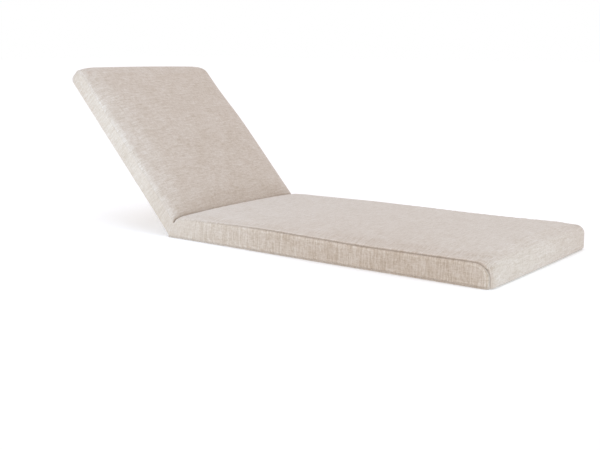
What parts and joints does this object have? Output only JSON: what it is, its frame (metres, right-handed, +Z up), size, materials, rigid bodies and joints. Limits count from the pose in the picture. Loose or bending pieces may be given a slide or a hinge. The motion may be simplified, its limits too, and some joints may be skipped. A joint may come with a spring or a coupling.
{
  "type": "sun lounger cushion",
  "caption": "Long padded cushion for a sun lounger, folded so that its head part slopes up from a flat seat, with sewn side panels.",
  "frame": {"origin": "on the supporting surface, below the middle of the cushion's bounding box", "axes": "+X towards the foot end, +Y to the left of someone lying on it, +Z up from the surface"},
  "size_m": [1.7742, 0.7202, 0.594],
  "materials": {
    "cover_cloth": "matt slub weave, off-white and beige melange, streaks across the width",
    "panel_cloth": "matt slub weave, off-white and beige melange, streaks up the side"
  },
  "bodies": {
    "root": {"cushion_body": "cover_cloth", "side_panel_right": "panel_cloth", "side_panel_left": "panel_cloth"}
  },
  "joints": []
}
